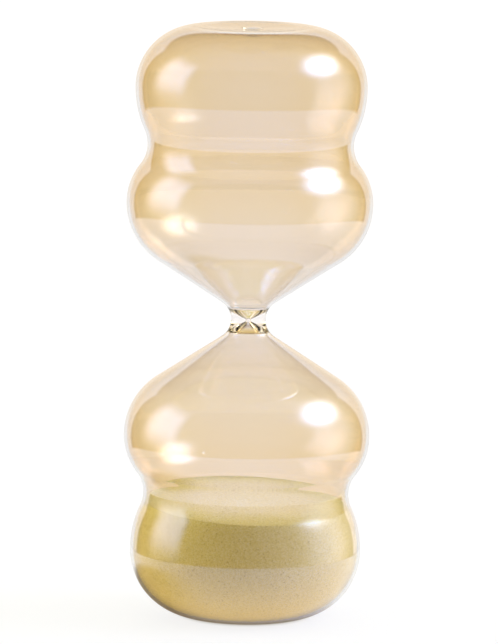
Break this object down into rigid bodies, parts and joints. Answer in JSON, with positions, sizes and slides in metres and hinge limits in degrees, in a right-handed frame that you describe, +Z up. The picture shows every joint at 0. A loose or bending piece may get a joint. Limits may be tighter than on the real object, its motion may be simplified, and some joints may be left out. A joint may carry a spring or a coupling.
{
  "type": "hourglass",
  "caption": "Frameless blown-glass hourglass: double-bellied amber-lustred bulbs joined by a clear neck, with sand at rest in the lower bulb.",
  "frame": {"origin": "middle of the plane that the hourglass stands on, under the lower bulb's foot ring", "axes": "+Z up along the glass's axis, from the lower bulb to the upper; +Y away from the viewer, +X to the viewer's right"},
  "size_m": [0.1026, 0.1026, 0.2477],
  "materials": {
    "amber_glass": "clear blown glass with a thin amber lustre on its inside face",
    "clear_glass": "thick clear flame-worked glass",
    "sand": "fine dry sieved sand, matt, with a few lighter and darker grains"
  },
  "bodies": {
    "root": {"upper_bulb": "amber_glass", "lower_bulb": "amber_glass", "neck_joint": "clear_glass", "fill_seal": "clear_glass", "sand_charge": "sand"}
  },
  "joints": []
}
